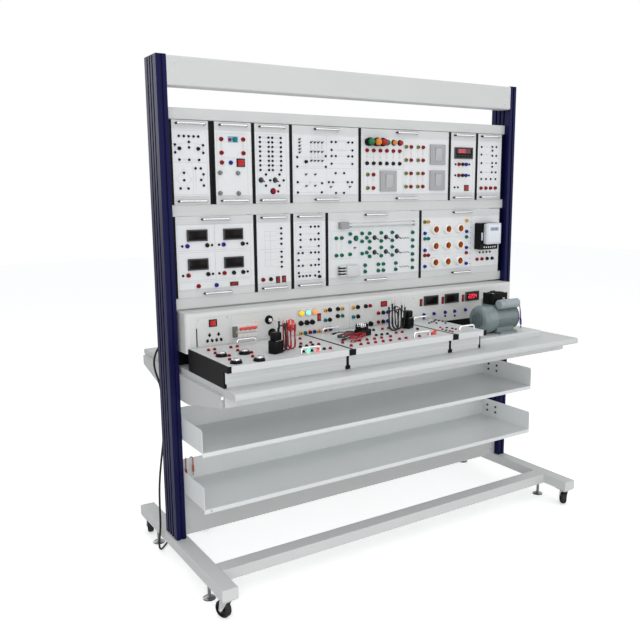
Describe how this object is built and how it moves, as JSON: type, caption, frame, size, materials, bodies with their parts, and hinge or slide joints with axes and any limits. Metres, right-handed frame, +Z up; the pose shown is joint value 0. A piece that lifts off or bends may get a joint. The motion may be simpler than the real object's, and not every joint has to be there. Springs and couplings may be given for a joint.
{
  "type": "electrical training system",
  "caption": "Free-standing wheeled electrical training bench with framed circuit panels, mains console, worktop with component boxes and a motor, and two open tool trays.",
  "frame": {"origin": "on the floor under the middle of the bench", "axes": "+Z up, the panels and console face -Y, +X to the right seen from the front"},
  "size_m": [1.7716, 0.9006, 1.891],
  "materials": {
    "navy_extrusion": "satin",
    "grey_frame": "satin",
    "grey_sheet": "satin",
    "light_profile": "satin",
    "white_board": "satin",
    "white_plastic": "gloss",
    "black_plastic": "satin",
    "black_gloss": "gloss",
    "red_switch": "gloss",
    "grey_worktop": "satin",
    "chrome": "polished",
    "castor_tyre": "satin",
    "motor_paint": "satin",
    "steel": "satin",
    "cord_rubber": "satin"
  },
  "bodies": {
    "bench": {"base_frame": "grey_frame", "box_end_plates": "black_plastic", "box_handles": "white_plastic", "castor_plates": "steel", "component_boxes": "grey_sheet", "console_case": "grey_sheet", "console_plinth": "black_plastic", "console_rear_cover": "grey_sheet", "energy_meter": "black_plastic", "fluorescent_lamp": "white_plastic", "header_banner": "light_profile", "kick_panel": "grey_sheet", "lamp_sockets": "white_plastic", "mains_breaker": "white_plastic", "mains_cord": "cord_rubber", "mains_cord_coil": "cord_rubber", "mains_plug": "cord_rubber", "module_boards": "white_board", "module_handles": "white_plastic", "module_rails": "light_profile", "module_side_plates": "black_plastic", "module_strips": "light_profile", "motor_capacitor": "black_gloss", "motor_cowl": "motor_paint", "motor_housing": "motor_paint", "motor_leads": "cord_rubber", "motor_terminal_box": "black_plastic", "panel_meters": "black_plastic", "patch_leads": "cord_rubber", "switch_bezels": "black_gloss", "tool_trays": "grey_sheet", "uprights": "navy_extrusion", "wall_switch_plates": "white_plastic", "worktop": "grey_worktop", "worktop_brackets": "grey_sheet", "worktop_front_rail": "grey_sheet"},
    "castor_fork_front_left": {"castor_fork_front_left": "chrome"},
    "castor_fork_front_right": {"castor_fork_front_right": "chrome"},
    "castor_fork_rear_left": {"castor_fork_rear_left": "chrome"},
    "castor_fork_rear_right": {"castor_fork_rear_right": "chrome"},
    "castor_wheel_front_left": {"castor_wheel_front_left": "castor_tyre"},
    "castor_wheel_front_right": {"castor_wheel_front_right": "castor_tyre"},
    "castor_wheel_rear_left": {"castor_wheel_rear_left": "castor_tyre"},
    "castor_wheel_rear_right": {"castor_wheel_rear_right": "castor_tyre"},
    "levelling_foot_front_left": {"levelling_foot_front_left": "chrome"},
    "levelling_foot_front_right": {"levelling_foot_front_right": "chrome"},
    "levelling_foot_rear_left": {"levelling_foot_rear_left": "chrome"},
    "levelling_foot_rear_right": {"levelling_foot_rear_right": "chrome"},
    "main_rocker": {"main_rocker": "red_switch"},
    "lamp_rocker": {"lamp_rocker": "red_switch"},
    "supply_rocker": {"supply_rocker": "red_switch"},
    "meter_rocker_1": {"meter_rocker_1": "red_switch"},
    "meter_rocker_2": {"meter_rocker_2": "red_switch"},
    "meter_rocker_3": {"meter_rocker_3": "red_switch"},
    "motor_rocker": {"motor_rocker": "red_switch"},
    "breaker_lever": {"breaker_lever": "red_switch"},
    "estop_button": {"estop_button": "red_switch"},
    "key_switch": {"key_switch": "chrome"},
    "selector_knob": {"selector_knob": "black_gloss"},
    "motor_rotor": {"motor_rotor": "steel"}
  },
  "joints": [
    {"name": "castor_swivel_front_left", "type": "hinge", "parent": "bench", "child": "castor_fork_front_left", "pos_m": [-0.8435, -0.378, 0.06], "axis": [0, 0, 1], "continuous": true},
    {"name": "castor_roll_front_left", "type": "hinge", "parent": "castor_fork_front_left", "child": "castor_wheel_front_left", "pos_m": [-0.85024, -0.36131, 0.031], "axis": [-0.9272, -0.3746, 0], "continuous": true},
    {"name": "castor_swivel_front_right", "type": "hinge", "parent": "bench", "child": "castor_fork_front_right", "pos_m": [0.8435, -0.378, 0.06], "axis": [0, 0, 1], "continuous": true},
    {"name": "castor_roll_front_right", "type": "hinge", "parent": "castor_fork_front_right", "child": "castor_wheel_front_right", "pos_m": [0.85507, -0.36421, 0.031], "axis": [-0.766, 0.6428, 0], "continuous": true},
    {"name": "castor_swivel_rear_left", "type": "hinge", "parent": "bench", "child": "castor_fork_rear_left", "pos_m": [-0.8435, 0.383, 0.06], "axis": [0, 0, 1], "continuous": true},
    {"name": "castor_roll_rear_left", "type": "hinge", "parent": "castor_fork_rear_left", "child": "castor_wheel_rear_left", "pos_m": [-0.83884, 0.40039, 0.031], "axis": [-0.9659, 0.2588, 0], "continuous": true},
    {"name": "castor_swivel_rear_right", "type": "hinge", "parent": "bench", "child": "castor_fork_rear_right", "pos_m": [0.8435, 0.383, 0.06], "axis": [0, 0, 1], "continuous": true},
    {"name": "castor_roll_rear_right", "type": "hinge", "parent": "castor_fork_rear_right", "child": "castor_wheel_rear_right", "pos_m": [0.84037, 0.40073, 0.031], "axis": [-0.9848, -0.1736, 0], "continuous": true},
    {"name": "foot_screw_front_left", "type": "slide", "parent": "bench", "child": "levelling_foot_front_left", "axis": [0, 0, 1], "range_m": [-0.012, 0.02]},
    {"name": "foot_screw_front_right", "type": "slide", "parent": "bench", "child": "levelling_foot_front_right", "axis": [0, 0, 1], "range_m": [-0.012, 0.02]},
    {"name": "foot_screw_rear_left", "type": "slide", "parent": "bench", "child": "levelling_foot_rear_left", "axis": [0, 0, 1], "range_m": [-0.012, 0.02]},
    {"name": "foot_screw_rear_right", "type": "slide", "parent": "bench", "child": "levelling_foot_rear_right", "axis": [0, 0, 1], "range_m": [-0.012, 0.02]},
    {"name": "main_rocker_pivot", "type": "hinge", "parent": "bench", "child": "main_rocker", "pos_m": [-0.712, -0.0365, 0.9535], "axis": [0, 0, 1], "range_deg": [0, 18]},
    {"name": "lamp_rocker_pivot", "type": "hinge", "parent": "bench", "child": "lamp_rocker", "pos_m": [-0.255, -0.0365, 0.931], "axis": [1, 0, 0], "range_deg": [0, 18]},
    {"name": "supply_rocker_pivot", "type": "hinge", "parent": "bench", "child": "supply_rocker", "pos_m": [0.0665, -0.0365, 0.9565], "axis": [0, 0, 1], "range_deg": [0, 18]},
    {"name": "meter_rocker_1_pivot", "type": "hinge", "parent": "bench", "child": "meter_rocker_1", "pos_m": [0.268, -0.0365, 0.944], "axis": [1, 0, 0], "range_deg": [0, 18]},
    {"name": "meter_rocker_2_pivot", "type": "hinge", "parent": "bench", "child": "meter_rocker_2", "pos_m": [0.392, -0.0365, 0.944], "axis": [1, 0, 0], "range_deg": [0, 18]},
    {"name": "meter_rocker_3_pivot", "type": "hinge", "parent": "bench", "child": "meter_rocker_3", "pos_m": [0.513, -0.0365, 0.944], "axis": [1, 0, 0], "range_deg": [0, 18]},
    {"name": "motor_rocker_pivot", "type": "hinge", "parent": "bench", "child": "motor_rocker", "pos_m": [0.695, -0.0365, 0.953], "axis": [0, 0, 1], "range_deg": [0, 18]},
    {"name": "breaker_lever_pivot", "type": "hinge", "parent": "bench", "child": "breaker_lever", "pos_m": [-0.575, -0.038, 0.912], "axis": [1, 0, 0], "range_deg": [0, 70]},
    {"name": "estop_press", "type": "slide", "parent": "bench", "child": "estop_button", "axis": [0, 1, 0], "range_m": [0, 0.006]},
    {"name": "key_turn", "type": "hinge", "parent": "bench", "child": "key_switch", "pos_m": [-0.481, -0.038, 0.943], "axis": [0, 1, 0], "range_deg": [0, 90]},
    {"name": "selector_turn", "type": "hinge", "parent": "bench", "child": "selector_knob", "pos_m": [-0.468, -0.038, 0.891], "axis": [0, 1, 0], "range_deg": [-45, 45]},
    {"name": "motor_spin", "type": "hinge", "parent": "bench", "child": "motor_rotor", "pos_m": [0.6, -0.219, 0.878], "axis": [1, 0, 0], "continuous": true}
  ]
}
